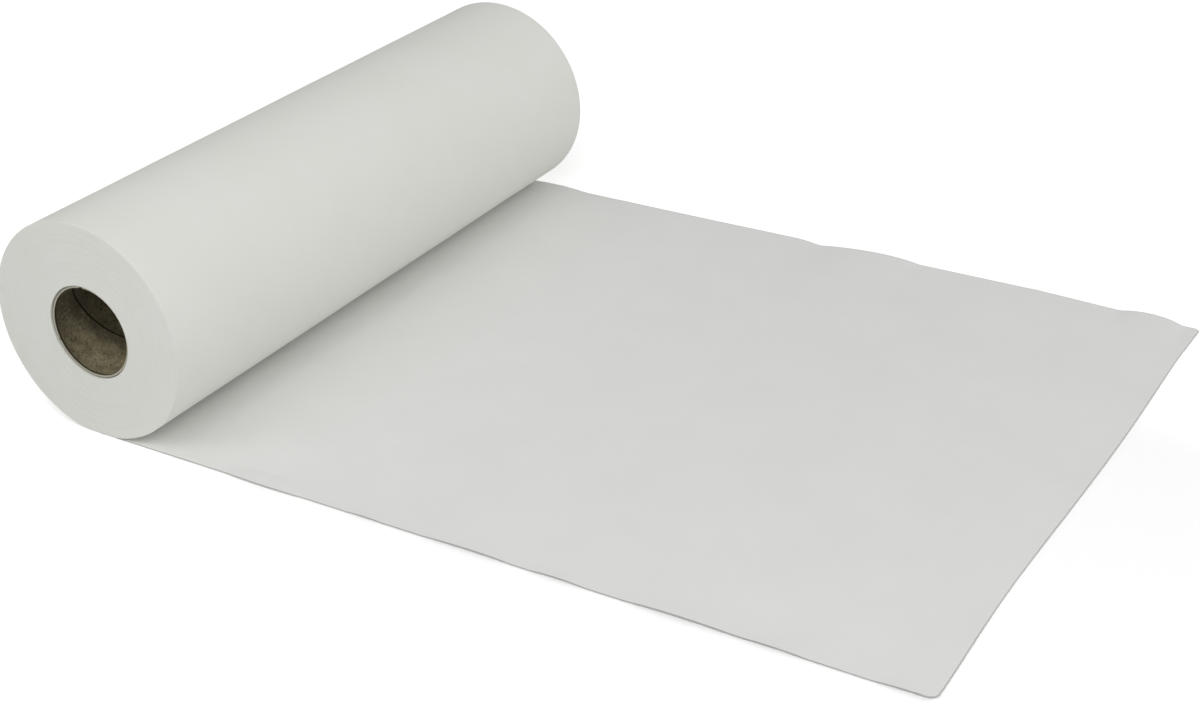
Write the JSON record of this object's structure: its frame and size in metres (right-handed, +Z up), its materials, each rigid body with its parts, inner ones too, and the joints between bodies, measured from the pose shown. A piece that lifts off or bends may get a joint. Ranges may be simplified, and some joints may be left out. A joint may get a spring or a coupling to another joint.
{
  "type": "exam table paper roll",
  "caption": "Wide white paper roll on a cardboard core, lying on its side with its free end drawn out flat along the surface.",
  "frame": {"origin": "on the surface that the roll lies on, under the middle of its length, at the line where the free end leaves it", "axes": "+X along the free end, away from the roll; +Y along the roll's axis; +Z up"},
  "size_m": [0.5477, 0.403, 0.1245],
  "materials": {
    "paper": "smooth matte soft white two-ply paper",
    "core_board": "plain grey-brown spiral-wound chipboard with a matte, fibrous face"
  },
  "bodies": {
    "root": {"wound_paper": "paper", "cardboard_core": "core_board"}
  },
  "joints": []
}
